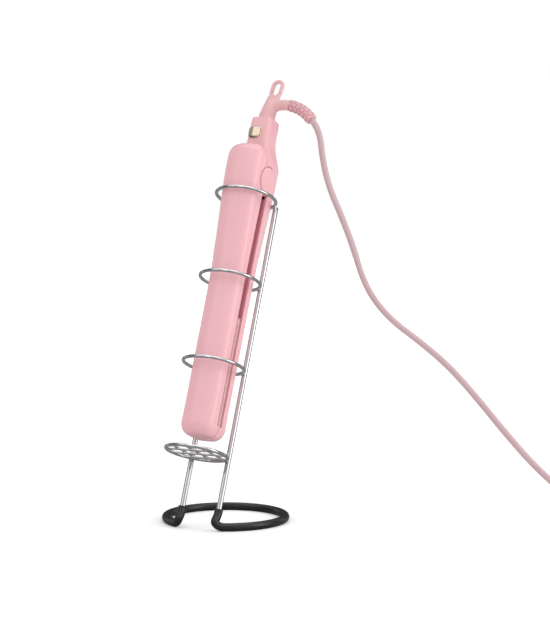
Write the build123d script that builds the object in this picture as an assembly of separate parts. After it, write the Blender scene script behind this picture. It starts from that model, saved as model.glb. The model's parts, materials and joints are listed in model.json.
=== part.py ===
from build123d import *
import math
import os

os.makedirs("parts", exist_ok=True)

# Row frame: +Z up, the floor is Z = 0, the stand's open front faces -Y and X = 0 is its middle
# plane. Leaning frame: the stand's rings and the straightener are drawn upright, with x sideways,
# t towards the back (local Y) and s along the axis (local Z) from the middle of the rest ring, and
# LEANING puts them in place.

# ---- driving dimensions, millimetres and degrees ----
LEAN = 22.0                      # the rings' axis leans back by this much
REST_CENTRE = (0.0, -57.1, 64.0)  # middle of the rest ring in the row frame

HOOP_CENTRE_Y = -8.5
HOOP_RADIUS = 51.0
LEG_RADIUS = 2.25
SLEEVE_RADIUS = 3.5
SLEEVE_FLAT = 0.3                # depth of the flat that the sleeve stands on
LEG_HALF_GAP = 17.6
LEG_BACK = 23.4                  # legs stand this far behind the rings' axis

RING_RADIUS = 26.0
RING_WIRE = 1.5
RING_PITCH = 76.0
MESH_WIRE = 0.9
MESH_PITCH = 13.0

IRON_BACK = 2.5                  # the straightener sits this far behind the rings' axis
ARM_GAP = 4.2                    # from the middle of the slot to an arm's inner face
NOSE_GAP = 0.4                   # the same at the closed tips
NOSE_S = 24.0
WALL = 2.0
TIP_S = 14.0
END_ANGLES = (90, 78, 66, 54, 42, 30, 20)
END_SHRINK = 7.5                 # how much an arm narrows on each side over its rounded end
CAVITY_S = 19.5
PLATE_S = (20.5, 119.0)
PLATE_HALF_WIDTH = 12.6
PLATE_FACE_HALF_WIDTH = 14.4     # the working face covers the arm's rims
PLATE_FACE_THICK = 3.15
PLATE_THICK = 5.0
PLATE_LEEWAY = 0.15              # each plate stops this short of the slot's middle
COVER_S = (119.8, 229.5)
COVER_THICK = 1.6
SCREW_S = (132.0, 172.0, 212.0)  # the slot covers' screws
HINGE_S = 244.0
HINGE_DISC = 12.7
HINGE_PIN = 2.5
CHEEK_X = (10.2, 16.5)
CAP_X = 17.8
FRONT_END_S = 272.0
FRONT_END_T = 8.2                # inner face of the front arm above the hinge
REAR_SHELL_END_S = 258.5
TAIL_TOP_S = 305.0
TAIL_T = (-4.5, 15.6)
TAIL_WALL = 2.0
BUTTON = (-2.5, 289.5)           # x and s of the power button
BUTTON_SIZE = (10.4, 8.8)
BUTTON_CORNER = 2.4
SWIVEL_T = 6.0
STEM_RADIUS = 5.2

CORD_RADIUS = 2.7
COIL_CENTRE = (352.0, 22.0)
COIL_MEAN_RADIUS = 29.5
COIL_ROWS = 3
TIE_ANGLE = -105.0               # where the strap holds the coil, seen from above
CORD_TO_RELIEF = 0.35            # clearance between the cord and the turning strain relief
PLUG_TOP = (389.0, -12.0, 7.0)   # where the cord meets the plug
PLUG_LENGTH = 34.0

LEANING = Location(REST_CENTRE) * Location((0, 0, 0), (-LEAN, 0, 0))
IRON = LEANING * Location((0, IRON_BACK, 0))


def save(shape, name):
    """Write one node, with every solid of it in one compound."""
    solids = [Solid(solid.wrapped) for solid in shape.solids()]
    export_step(Compound(children=solids, label=name), f"parts/{name}.step")


def row_point(x, t, s):
    """A point of the straightener's own frame, in the row frame."""
    lean = math.radians(LEAN)
    back = t + IRON_BACK
    return Vector(
        x,
        REST_CENTRE[1] + back * math.cos(lean) + s * math.sin(lean),
        REST_CENTRE[2] - back * math.sin(lean) + s * math.cos(lean),
    )


def block(x, t, s):
    """A box given by its (low, high) limits in the straightener's own frame."""
    size = [b - a for a, b in (x, t, s)]
    middle = [(a + b) / 2 for a, b in (x, t, s)]
    return Pos(*middle) * Box(*size)


def rod_x(radius, x, t, s):
    """A round bar along x."""
    return Pos((x[0] + x[1]) / 2, t, s) * Rot(0, 90, 0) * Cylinder(radius, x[1] - x[0])


def rod_s(radius, x, t, s):
    """A round bar along s."""
    return Pos(x, t, (s[0] + s[1]) / 2) * Cylinder(radius, s[1] - s[0])


def both_sides(shape):
    return shape + mirror(shape, Plane.YZ)


# ---- the stand ----

def ring(radius, wire):
    return Torus(radius, wire)


def hoop_angle():
    """Half the opening of the base hoop, seen from its middle."""
    return math.degrees(math.asin(LEG_HALF_GAP / HOOP_RADIUS))


def leg_axis(side):
    """The lowest and highest point of a leg's straight stretch, in the row frame."""
    lean = math.radians(LEAN)
    base = Vector(side * LEG_HALF_GAP, REST_CENTRE[1], REST_CENTRE[2])
    base += Vector(0, math.cos(lean), -math.sin(lean)) * LEG_BACK
    along = Vector(0, math.sin(lean), math.cos(lean))
    foot = base + along * ((SLEEVE_RADIUS - SLEEVE_FLAT - base.Z) / along.Z)
    return foot, along


def foot_path():
    """The hoop's arc and its two upturned ends."""
    z = SLEEVE_RADIUS - SLEEVE_FLAT
    half = hoop_angle()
    arc = CenterArc((0, HOOP_CENTRE_Y, z), HOOP_RADIUS, -90 + half + 9, 360 - 2 * (half + 9))
    edges = [arc]
    for side, at in ((1, 0), (-1, 1)):
        foot, along = leg_axis(side)
        top = foot + along * 15.0
        onward = (arc % at) * (-1 if at == 0 else 1)
        corner = foot + along * 4.5 + Vector(0, -2.5, 0)
        edges.append(Spline(arc @ at, corner, top, tangents=[onward, along]))
    return edges


def stand_parts():
    parts = {}
    arc, right_bend, left_bend = foot_path()
    start = arc @ 0
    section = Plane(origin=start, z_dir=arc % 0)
    hoop_rod = sweep(section * Circle(LEG_RADIUS), path=arc)
    hoop_tube = sweep(section * Circle(SLEEVE_RADIUS), path=arc)
    for bend in (right_bend, left_bend):
        plane = Plane(origin=bend @ 0, z_dir=bend % 0)
        hoop_rod += sweep(plane * Circle(LEG_RADIUS), path=bend)
        hoop_tube += sweep(plane * Circle(SLEEVE_RADIUS), path=bend)
    floor = Pos(0, 0, -10) * Box(400, 400, 20)
    parts["base_hoop"] = hoop_rod
    parts["hoop_sleeve"] = hoop_tube - hoop_rod - floor
    for side, name in ((-1, "left_leg"), (1, "right_leg")):
        foot, along = leg_axis(side)
        low = foot + along * 15.0
        top_s = 3 * RING_PITCH
        high = LEANING * Location((side * LEG_HALF_GAP, LEG_BACK, top_s))
        length = (high.position - low).length
        leg = Plane(origin=low, z_dir=along) * Pos(0, 0, length / 2) * Cylinder(LEG_RADIUS, length)
        parts[name] = leg
    for number, name in ((1, "lower_ring"), (2, "middle_ring"), (3, "top_ring")):
        parts[name] = LEANING * Pos(0, 0, number * RING_PITCH) * ring(RING_RADIUS, RING_WIRE)
    parts["rest_ring"] = LEANING * ring(RING_RADIUS, RING_WIRE)
    wires = Part()
    for number in (-1, 0, 1):
        offset = number * MESH_PITCH
        half = math.sqrt(RING_RADIUS ** 2 - offset ** 2)
        wires += Pos(offset, 0, MESH_WIRE) * Rot(90, 0, 0) * Cylinder(MESH_WIRE, 2 * half)
        wires += Pos(0, offset, -MESH_WIRE) * Rot(0, 90, 0) * Cylinder(MESH_WIRE, 2 * half)
    parts["rest_mesh"] = LEANING * (wires - ring(RING_RADIUS, RING_WIRE))
    return parts


# ---- the straightener's arms ----

def arm_face(s, half_width, flank, crown, floor):
    """D outline of an arm: flat towards the slot, straight flanks, elliptical crown."""
    side_a = Line((half_width, floor), (half_width, flank))
    top = EllipticalCenterArc((0, flank), half_width, crown - flank, 0, arc_size=180)
    side_b = Line((-half_width, flank), (-half_width, floor))
    base = Line((-half_width, floor), (half_width, floor))
    return Pos(0, 0, s) * make_face([side_a, top, side_b, base])


# s, half width, crown height of each arm between its rounded ends
FRONT_SECTIONS = ((NOSE_S, 15.25, 18.0), (90, 15.25, 18.0), (150, 15.35, 18.4), (200, 15.95, 21.2),
                  (236, 16.5, 24.4), (262, 16.5, 25.0))
REAR_SECTIONS = ((NOSE_S, 15.25, 18.0), (90, 15.25, 18.0), (150, 15.35, 18.2), (200, 15.95, 19.8),
                 (236, 16.5, 22.0), (258.5, 16.5, 22.6))
CROWN_DROP = 8.5                 # the flanks end this far below the crown


def rounded_end(section, end_s, step, floor=ARM_GAP):
    """Loft that narrows from one section to a rounded end, outwards by step (-1 tip, 1 top)."""
    s0, half_width, crown = section
    reach = (end_s - s0) / math.cos(math.radians(END_ANGLES[-1]))
    faces = []
    for angle in END_ANGLES:
        lost = END_SHRINK * (1 - math.sin(math.radians(angle)))
        s = s0 + reach * math.cos(math.radians(angle))
        high = crown - lost
        drop = CROWN_DROP * (high - floor) / (crown - floor)
        faces.append(arm_face(s, half_width - lost, high - drop, high, floor))
    return loft(faces[::step])


def arm_body(sections, inset=0.0):
    """The stretch of an arm between its ends, or with an inset the room inside it."""
    floor = ARM_GAP - (2.0 if inset else 0.0)
    faces = [arm_face(s, half_width - inset, crown - CROWN_DROP, crown - inset, floor)
             for s, half_width, crown in sections]
    return loft(faces)


def arm_cavity(sections):
    """Room inside an arm, with a narrower pocket in the rounded tip."""
    s0, half_width, crown = sections[0]
    floor = ARM_GAP - 2.0
    pocket = loft([
        arm_face(CAVITY_S, half_width - WALL - 1.5, crown - CROWN_DROP - 1.0, crown - WALL - 1.5, floor),
        arm_face(s0, half_width - WALL, crown - CROWN_DROP, crown - WALL, floor),
    ])
    return pocket + arm_body(sections, WALL)


def hinge_cut():
    """Room for the round hinge cheeks, through both flanks."""
    side = rod_x(HINGE_DISC + 0.4, (CHEEK_X[0] - 0.4, 30), 0, HINGE_S)
    return both_sides(side)


def shell(sections, end_s=None):
    """Outer shell of an arm, open towards the slot. With end_s it has a rounded upper end."""
    body = rounded_end(sections[0], TIP_S, -1, NOSE_GAP) + arm_body(sections)
    room = arm_cavity(sections)
    if end_s:
        body += rounded_end(sections[-1], end_s, 1)
        last = sections[-1]
        room += loft([
            arm_face(last[0], last[1] - WALL, last[2] - CROWN_DROP, last[2] - WALL, ARM_GAP - 2.0),
            arm_face(end_s - 3.0, last[1] - WALL - 3.0, last[2] - CROWN_DROP - 3.0, last[2] - WALL - 4.0,
                     ARM_GAP - 2.0),
        ])
    room += block((-PLATE_HALF_WIDTH - 0.3, PLATE_HALF_WIDTH + 0.3), (0, PLATE_LEEWAY + PLATE_THICK + 1.5),
                  (PLATE_S[0] - 0.3, PLATE_S[0] + 8))
    return body - room - hinge_cut()


def slot_cover(sections):
    """Lining of the slot between the heating plate and the hinge, with three screw holes."""
    slab = block((-40, 40), (ARM_GAP, ARM_GAP + COVER_THICK), COVER_S)
    tongue = block((-9.6, 9.6), (ARM_GAP, ARM_GAP + COVER_THICK), (COVER_S[1] - 1, COVER_S[1] + 3.7))
    return (arm_body(sections, WALL) & slab) + tongue - cover_screws()


def cover_screws():
    screws = Part()
    for s in SCREW_S:
        shank = Pos(0, ARM_GAP + 4.1, s) * Rot(90, 0, 0) * Cylinder(1.25, 7.0)
        head = Pos(0, ARM_GAP + 0.85, s) * Rot(-90, 0, 0) * Cone(2.4, 1.25, 1.2)
        slot = block((-0.3, 0.3), (ARM_GAP - 0.2, ARM_GAP + 0.75), (s - 1.6, s + 1.6))
        screws += shank + head - slot
    return screws


def heating_plate():
    """Aluminium plate with a wider soft-edged face and a channel behind for the heater."""
    back_t = PLATE_LEEWAY + PLATE_THICK
    plate = block((-PLATE_HALF_WIDTH, PLATE_HALF_WIDTH), (PLATE_LEEWAY, back_t), PLATE_S)
    face_t = (PLATE_LEEWAY, PLATE_LEEWAY + PLATE_FACE_THICK)
    face = block((-PLATE_FACE_HALF_WIDTH, PLATE_FACE_HALF_WIDTH), face_t, (NOSE_S + 0.3, PLATE_S[1]))
    plate += fillet(face.edges().filter_by(Axis.Z), 0.9)
    foot = block((-9, 9), (back_t, back_t + 2.4), (26, 113))
    channel = block((-6.2, 6.2), (back_t + 0.2, 20), (34.0, 106.0))
    return plate + foot - channel


def heater():
    low = PLATE_LEEWAY + PLATE_THICK + 0.2
    return block((-6, 6), (low, low + 2.1), (36, 104))


def heater_clip():
    """Bowed spring strip that presses the heater into its channel."""
    low = PLATE_LEEWAY + PLATE_THICK + 2.4
    return block((-5, 5), (low, low + 0.5), (34.5, 105.5))


def plate_carrier(leeway):
    """Heat-proof frame behind the plate, open in the middle."""
    low = PLATE_LEEWAY + PLATE_THICK + 2.4 + 0.6 + leeway
    frame = block((-11.5, 11.5), (low, low + 2.0), (22, 118))
    window = block((-7, 7), (low - 1, low + 3), (31, 109))
    frame -= window
    for s in (27, 113):
        frame += block((-3, 3), (low + 2.0, 15.2), (s - 2, s + 2))
    return frame


def plate_springs():
    """Two small coil springs between the carrier and the floating plate."""
    springs = Part()
    low = PLATE_LEEWAY + PLATE_THICK + 2.4
    for s in (28.4, 111.0):
        for x in (-4.5, 4.5):
            tube = Cylinder(1.6, 1.6) - Cylinder(1.0, 1.6)
            springs += Pos(x, low + 0.8, s) * Rot(90, 0, 0) * tube
    return springs


def arm_wires(x_side):
    """Two insulated wires from the heater to the hinge end of the arm."""
    wires = Part()
    for x in (-1.2, 1.2):
        wires += rod_s(0.9, x_side * 9.0 + x, 12.3, (107, 226))
    return wires


def thermal_fuse():
    x, t = -7.5, 12.6
    body = rod_s(1.9, x, t, (124, 136))
    leads = rod_s(0.5, x, t, (116, 124)) + rod_s(0.5, x, t, (136, 144))
    return body + leads


def temperature_sensor():
    bead = Pos(0, 9.4, 70) * Sphere(1.2)
    return bead + rod_s(0.5, 0, 9.4, (70, 103))


def hinge_block():
    """Barrel round the hinge pin and its root inside the rear arm."""
    barrel = rod_x(11.0, (-9.8, 9.8), 0, HINGE_S)
    root = block((-9.8, 9.8), (0, 17.9), (HINGE_S - 9, HINGE_S + 11))
    room = rod_x(7.2, (-6.5, 6.5), 0, HINGE_S)
    bore = rod_x(HINGE_PIN, (-30, 30), 0, HINGE_S)
    return barrel + root - room - bore


def hinge_cheek(side):
    """Round cheek that turns on the pin, with its web inside the front arm."""
    disc = rod_x(HINGE_DISC, CHEEK_X, 0, HINGE_S)
    web = block((CHEEK_X[0], 14.2), (-15.8, 0), (HINGE_S - 9, HINGE_S + 9))
    cheek = disc + web - rod_x(HINGE_PIN + 0.15, (0, 30), 0, HINGE_S)
    return cheek if side > 0 else mirror(cheek, Plane.YZ)


def hinge_cap(side):
    cap = rod_x(HINGE_DISC, (CHEEK_X[1], CAP_X), 0, HINGE_S)
    rim = cap.edges().filter_by(GeomType.CIRCLE).sort_by(Axis.X)[-1]
    cap = fillet(rim, 0.9)
    return cap if side > 0 else mirror(cap, Plane.YZ)


def opening_spring():
    """Torsion spring round the pin: a closely wound coil and two legs."""
    coil = rod_x(5.4, (-5.6, 5.6), 0, HINGE_S) - rod_x(3.4, (-6, 6), 0, HINGE_S)
    for x in (-4.2, -1.4, 1.4, 4.2):
        groove = rod_x(5.6, (x - 0.2, x + 0.2), 0, HINGE_S) - rod_x(4.9, (x - 0.2, x + 0.2), 0, HINGE_S)
        coil -= groove
    return coil


def tail_solid(inset, low_s, high_s):
    """Loft of the tail: as wide as the arms at the hinge, and a slim rounded block above."""
    middle = (TAIL_T[0] + TAIL_T[1]) / 2
    depth = TAIL_T[1] - TAIL_T[0]
    sections = (
        (low_s, 32.8, 27.1, 9.05, 8.8),
        (266.0, 30.2, 25.8, 8.2, 8.2),
        (276.0, 23.6, 22.0, 6.4, 5.0),
        (284.0, 20.6, depth, middle, 3.8),
        (high_s, 19.2, depth - 0.8, middle, 3.6),
    )
    faces = []
    for s, width, deep, centre, corner in sections:
        outline = RectangleRounded(width - 2 * inset, deep - 2 * inset, corner - inset)
        faces.append(Pos(0, centre, s) * outline)
    return loft(faces)


def tail_housing():
    body = tail_solid(0, REAR_SHELL_END_S, TAIL_TOP_S)
    top = body.faces().sort_by(Axis.Z)[-1]
    body = fillet(top.edges(), 1.4)
    room = tail_solid(TAIL_WALL, REAR_SHELL_END_S - 0.2, TAIL_TOP_S - 5.0)
    body -= room
    body -= rod_s(STEM_RADIUS + 0.3, 0, SWIVEL_T, (TAIL_TOP_S - 8, TAIL_TOP_S + 5))
    return body - button_shape(1.0, TAIL_T[0] - 3.5, TAIL_T[0] + 2.5)


def button_shape(grow, low, high):
    """Rounded prism across t, from low to high."""
    outline = RectangleRounded(BUTTON_SIZE[0] + grow, BUTTON_SIZE[1] + grow, BUTTON_CORNER + grow / 2)
    prism = extrude(outline, high - low)
    return Pos(BUTTON[0], high, BUTTON[1]) * Rot(90, 0, 0) * prism


def power_button():
    cap = button_shape(0, TAIL_T[0] - 2.6, TAIL_T[0] + 1.6)
    outer = cap.faces().sort_by(Axis.Y)[0]
    cap = fillet(outer.edges(), 0.6)
    stem = Pos(BUTTON[0], TAIL_T[0] + 3.2, BUTTON[1]) * Rot(90, 0, 0) * Cylinder(1.6, 3.2)
    return cap + stem


def button_bezel():
    """Dark collar round the button, let into the housing."""
    collar = button_shape(1.8, TAIL_T[0] - 0.6, TAIL_T[0])
    sleeve = button_shape(0.9, TAIL_T[0], TAIL_T[0] + 1.9)
    hole = button_shape(0.7, TAIL_T[0] - 5, TAIL_T[0] + 5)
    return collar + sleeve - hole


def control_board():
    board = block((-7, 7), (TAIL_T[0] + 6.9, TAIL_T[0] + 8.3), (268, 295))
    chip = block((-4, 3), (TAIL_T[0] + 8.3, TAIL_T[0] + 10.1), (273, 281))
    lamp = block((-5, -3), (TAIL_T[0] + 8.3, TAIL_T[0] + 9.6), (284, 286))
    return board + chip + lamp


def supply_wires():
    """Two insulated wires from the swivel down to the hinge end of the tail."""
    return rod_s(0.9, -3.0, 9.5, (258, 296)) + rod_s(0.9, 3.0, 9.5, (258, 296))


def push_switch():
    x, s = BUTTON
    return block((x - 3, x + 3), (TAIL_T[0] + 5.8, TAIL_T[0] + 6.9), (s - 3, s + 3))


# ---- the swivel cord outlet ----

def swivel_stem():
    """Stem with its retaining flange inside the tail, and the elbow head above."""
    stem = rod_s(STEM_RADIUS, 0, SWIVEL_T, (TAIL_TOP_S - 8.5, TAIL_TOP_S + 6))
    flange = rod_s(STEM_RADIUS + 1.8, 0, SWIVEL_T, (TAIL_TOP_S - 8.5, TAIL_TOP_S - 5.6))
    head = Pos(2.0, SWIVEL_T, TAIL_TOP_S + 12.5) * Sphere(6.9)
    skirt = Pos(0.4, SWIVEL_T, TAIL_TOP_S + 4.4) * Cone(7.6, 6.0, 7.6)
    outlet_path = Line((2, SWIVEL_T, TAIL_TOP_S + 12.5), relief_points()[0])
    outlet = sweep(Plane(origin=outlet_path @ 0, z_dir=outlet_path % 0) * Circle(5.9), path=outlet_path)
    return stem + flange + head + skirt + outlet


def hanging_loop():
    """Flat leaning tab with a long eye, for a hook."""
    tab = Pos(0, 2.1, 16.5) * Rot(90, 0, 0) * extrude(SlotOverall(33, 12.6, rotation=90), 4.2)
    tab = fillet(tab.edges().group_by(Axis.Y)[0], 1.2)
    eye = Pos(0, 10, 23.8) * Rot(90, 0, 0) * extrude(SlotOverall(11.6, 5.6, rotation=90), 20)
    loop = Pos(1.2, SWIVEL_T, TAIL_TOP_S + 7.0) * Rot(0, 9, 0) * (tab - eye)
    return loop - swivel_stem()


def relief_points():
    """Start, middle and end of the strain relief's axis."""
    return [(12.0, SWIVEL_T, TAIL_TOP_S + 15.2), (30.2, SWIVEL_T, TAIL_TOP_S + 11.0),
            (45.0, SWIVEL_T, TAIL_TOP_S - 0.2)]


def relief_path():
    return ThreePointArc(*relief_points())


def strain_relief():
    path = relief_path()
    return sweep(Plane(origin=path @ 0, z_dir=path % 0) * Circle(5.2), path=path) - swivel_stem()


# ---- the cord ----

def cord_start():
    """Where the cord leaves the strain relief, and its direction there, in the row frame."""
    path = relief_path()
    end = path @ 1
    way = path % 1
    point = row_point(end.X, end.Y, end.Z)
    ahead = row_point(end.X + way.X, end.Y + way.Y, end.Z + way.Z)
    return point, (ahead - point).normalized()


# the corners of the lead's route after its start, in the row frame
LEAD_ROUTE = (
    (49.8, 62.95, 338.3), (53.5, 61.45, 332.0), (55.8, 60.8, 324.9), (57.0, 60.6, 315.0),
    (60.3, 60.9, 297.0), (66.4, 61.2, 279.0), (76.5, 61.2, 258.0), (87.0, 60.9, 233.5),
    (95.9, 60.1, 207.5), (107.5, 59.2, 188.0), (126.0, 58.4, 170.0), (151.0, 57.6, 154.0),
    (178.0, 57.0, 134.0), (204.0, 56.0, 108.0), (229.5, 55.5, 80.0), (255.5, 55.0, 54.0),
    (283.0, 54.0, 33.5), (311.0, 53.0, 21.0), (334.0, 52.0, 15.3), (350.0, 51.5, 13.6),
)


def lead_points():
    start, way = cord_start()
    first = start + way * CORD_TO_RELIEF
    return [first] + [Vector(*p) for p in LEAD_ROUTE]


def corner_radii(points):
    radii = []
    for before, at, after in zip(points, points[1:], points[2:]):
        inward = at - before
        outward = after - at
        turn = math.radians(inward.get_angle(outward))
        radii.append(0.45 * min(inward.length, outward.length) / math.tan(turn / 2))
    return radii


def cord_lead():
    points = lead_points()
    radii = corner_radii(points)
    path = FilletPolyline(*points, radius=radii)
    tube = sweep(Plane(origin=path @ 0, z_dir=path % 0) * Circle(CORD_RADIUS), path=path)
    print("lead: length", round(path.length, 1), "tightest corner", round(min(radii), 1))
    return tube - cord_coil()


def cord_coil():
    """The outer shape of the wound turns."""
    wide = COIL_ROWS * 2 * CORD_RADIUS
    section = Pos(COIL_MEAN_RADIUS, wide / 2) * RectangleRounded(wide, wide, CORD_RADIUS)
    ring_solid = revolve(Plane.XZ * section, Axis.Z)
    return Pos(COIL_CENTRE[0], COIL_CENTRE[1], 0) * ring_solid


def coil_tie():
    """Strap round the bundle, on the side away from the stand."""
    wide = COIL_ROWS * 2 * CORD_RADIUS
    outer = RectangleRounded(wide + 3.2, wide + 1.7, CORD_RADIUS + 1.0)
    inner = Pos(0, -0.75) * RectangleRounded(wide + 0.6, wide + 0.6, CORD_RADIUS)
    band = extrude(outer, 5, both=True) - extrude(inner, 6, both=True)
    band = Pos(COIL_MEAN_RADIUS, 0, wide / 2 + 0.85) * Rot(90, 0, 0) * band
    return Pos(COIL_CENTRE[0], COIL_CENTRE[1], 0) * Rot(0, 0, TIE_ANGLE) * band - cord_coil()


def plug_body():
    """Flat two-pin plug that tapers to the cord."""
    face_y = PLUG_TOP[1] - PLUG_LENGTH
    front = Plane(origin=(PLUG_TOP[0], face_y, PLUG_TOP[2]), x_dir=(1, 0, 0), z_dir=(0, 1, 0))
    sections = []
    profile = ((0, 33, 13.6, 6.0), (9, 33, 13.6, 6.0), (22, 20, 12.0, 5.2), (PLUG_LENGTH, 9, 9, 4.0))
    for along, width, deep, corner in profile:
        sections.append(front.offset(along) * RectangleRounded(width, deep, corner))
    return loft(sections)


def plug_pins():
    pins = Part()
    for side in (-1, 1):
        centre = (PLUG_TOP[0] + side * 9.3, PLUG_TOP[1] - PLUG_LENGTH - 9.5, PLUG_TOP[2])
        pin = Pos(*centre) * Rot(90, 0, 0) * Cylinder(2.0, 19.0)
        tip = pin.edges().filter_by(GeomType.CIRCLE).sort_by(Axis.Y)[0]
        pins += fillet(tip, 1.2)
    return pins


PLUG_TAIL_ROUTE = ((386.9, 14.0, 2.9), (387.2, 5.0, 3.2), (388.4, -4.0, 5.4), (389.0, -12.0, 7.0))


def cord_tail():
    """The short end of the cord from the coil to the plug."""
    points = [Vector(*p) for p in PLUG_TAIL_ROUTE]
    path = FilletPolyline(*points, radius=corner_radii(points))
    tube = sweep(Plane(origin=path @ 0, z_dir=path % 0) * Circle(CORD_RADIUS), path=path)
    return tube - cord_coil() - plug_body()


# ---- put it together ----

def flipped(shape):
    """The front arm's copy of a piece drawn for the rear arm."""
    return mirror(shape, Plane.XZ)


def main():
    for name, shape in stand_parts().items():
        save(shape, name)

    rear = {
        "rear_outer_shell": shell(REAR_SECTIONS),
        "rear_inner_cover": slot_cover(REAR_SECTIONS),
        "rear_cover_screws": cover_screws(),
        "rear_heating_plate": heating_plate(),
        "rear_heater": heater(),
        "rear_heater_clip": heater_clip(),
        "rear_plate_carrier": plate_carrier(0.0),
        "rear_heater_wires": arm_wires(1),
        "thermal_fuse": thermal_fuse(),
        "temperature_sensor": temperature_sensor(),
        "hinge_block": hinge_block(),
        "hinge_pin": rod_x(HINGE_PIN, (-16.3, 16.3), 0, HINGE_S),
        "opening_spring": opening_spring(),
        "tail_housing": tail_housing(),
        "button_bezel": button_bezel(),
        "power_button": power_button(),
        "push_switch": push_switch(),
        "control_board": control_board(),
        "supply_wires": supply_wires(),
        "swivel_elbow": swivel_stem(),
        "hanging_loop": hanging_loop(),
        "strain_relief": strain_relief(),
    }
    front_cut = block((-40, 40), (-40, FRONT_END_T), (HINGE_S + HINGE_DISC + 0.4, 300))
    front = {
        "front_outer_shell": shell(FRONT_SECTIONS, FRONT_END_S) - front_cut,
        "front_inner_cover": slot_cover(FRONT_SECTIONS),
        "front_cover_screws": cover_screws(),
        "front_heating_plate": heating_plate(),
        "front_heater": heater(),
        "front_heater_clip": heater_clip(),
        "front_plate_carrier": plate_carrier(1.0),
        "front_plate_springs": plate_springs(),
        "front_heater_wires": arm_wires(1),
    }
    for name, shape in rear.items():
        save(IRON * shape, name)
    for name, shape in front.items():
        save(IRON * flipped(shape), name)
    for side, word in ((-1, "left"), (1, "right")):
        save(IRON * hinge_cheek(side), f"hinge_cheek_{word}")
        save(IRON * hinge_cap(side), f"hinge_cap_{word}")

    save(cord_lead(), "cord_lead")
    save(cord_coil(), "cord_coil")
    save(cord_tail(), "cord_tail")
    save(coil_tie(), "coil_tie")
    save(plug_body(), "plug_body")
    save(plug_pins(), "plug_pins")


main()
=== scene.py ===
import json
import math

import bmesh
import bpy
from mathutils import Matrix, Vector

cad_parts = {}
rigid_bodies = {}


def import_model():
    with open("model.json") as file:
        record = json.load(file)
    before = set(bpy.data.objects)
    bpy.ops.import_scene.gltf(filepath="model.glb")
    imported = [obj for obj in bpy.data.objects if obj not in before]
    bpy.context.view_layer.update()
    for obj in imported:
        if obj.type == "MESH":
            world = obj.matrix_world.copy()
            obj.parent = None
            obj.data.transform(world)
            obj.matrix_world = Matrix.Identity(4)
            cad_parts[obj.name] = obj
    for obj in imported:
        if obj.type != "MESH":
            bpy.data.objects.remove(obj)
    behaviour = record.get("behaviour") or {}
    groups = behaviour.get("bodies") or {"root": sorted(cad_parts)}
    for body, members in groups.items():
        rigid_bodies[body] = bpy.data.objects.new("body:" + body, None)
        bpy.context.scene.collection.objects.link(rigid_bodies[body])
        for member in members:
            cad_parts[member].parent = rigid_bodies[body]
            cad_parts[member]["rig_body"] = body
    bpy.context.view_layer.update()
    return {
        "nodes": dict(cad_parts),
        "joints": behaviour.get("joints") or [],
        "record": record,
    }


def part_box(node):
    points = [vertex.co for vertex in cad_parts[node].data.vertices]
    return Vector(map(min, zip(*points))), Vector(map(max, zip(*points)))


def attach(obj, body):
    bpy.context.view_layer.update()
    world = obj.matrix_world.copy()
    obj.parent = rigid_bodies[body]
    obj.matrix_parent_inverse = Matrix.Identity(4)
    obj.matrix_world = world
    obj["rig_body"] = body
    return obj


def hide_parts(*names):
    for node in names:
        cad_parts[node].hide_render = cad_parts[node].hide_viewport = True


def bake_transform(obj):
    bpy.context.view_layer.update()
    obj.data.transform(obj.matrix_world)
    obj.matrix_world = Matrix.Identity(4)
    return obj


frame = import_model()
nodes = frame["nodes"]
joints = {joint["name"]: joint for joint in frame["joints"]}

MM = 0.001

# ---- the straightener's own axes, taken from its joints ----
# Distances are in millimetres: x sideways, t from the slot's middle towards the back, and s along
# the arms, where the round hinge is at 244 and the stand's rest ring at 0.
ALONG = Vector(joints["iron_lift"]["axis"])
BACK = Vector((0.0, ALONG.z, -ALONG.y))
HINGE_S = 244.0
IRON_BACK = 2.5          # the slot's middle is this far behind the rings' axis
HINGE_POINT = Vector(joints["jaw_hinge"]["pos_m"])
IRON_ORIGIN = HINGE_POINT - ALONG * HINGE_S * MM
IRON = Matrix((
    (MM, 0.0, 0.0, IRON_ORIGIN.x),
    (0.0, BACK.y * MM, ALONG.y * MM, IRON_ORIGIN.y),
    (0.0, BACK.z * MM, ALONG.z * MM, IRON_ORIGIN.z),
    (0.0, 0.0, 0.0, 1.0),
))
RINGS = IRON @ Matrix.Translation((0.0, -IRON_BACK, 0.0))


# ---- mesh helpers ----

def finish_mesh(mesh, name, material, smooth_angle=40.0):
    """Put a mesh in the scene as a piece, smooth-shaded except over its sharp edges."""
    mesh.name = name
    mesh.materials.clear()
    mesh.materials.append(material)
    mesh.polygons.foreach_set("use_smooth", [True] * len(mesh.polygons))
    mesh.set_sharp_from_angle(angle=math.radians(smooth_angle))
    mesh.update()
    piece = bpy.data.objects.new(name, mesh)
    bpy.context.scene.collection.objects.link(piece)
    return piece


def baked(temporary, name, material, smooth_angle=40.0):
    """The evaluated shape of a temporary object as a plain piece. The object is removed."""
    bpy.context.view_layer.update()
    evaluated = temporary.evaluated_get(bpy.context.evaluated_depsgraph_get())
    mesh = bpy.data.meshes.new_from_object(evaluated)
    mesh.transform(temporary.matrix_world)
    bpy.data.objects.remove(temporary)
    return finish_mesh(mesh, name, material, smooth_angle)


def spline_points(points, resolution=8):
    """Points of the smooth line that has these as its control points."""
    curve = bpy.data.curves.new("line", "CURVE")
    curve.dimensions = "3D"
    curve.resolution_u = resolution
    spline = curve.splines.new("NURBS")
    spline.points.add(len(points) - 1)
    for point, place in zip(spline.points, points):
        point.co = (*place, 1.0)
    spline.order_u = 3
    spline.use_endpoint_u = True
    line = bpy.data.objects.new("line", curve)
    bpy.context.scene.collection.objects.link(line)
    bpy.context.view_layer.update()
    mesh = bpy.data.meshes.new_from_object(line)
    places = [vertex.co.copy() for vertex in mesh.vertices]
    bpy.data.objects.remove(line)
    bpy.data.meshes.remove(mesh)
    return places


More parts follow.
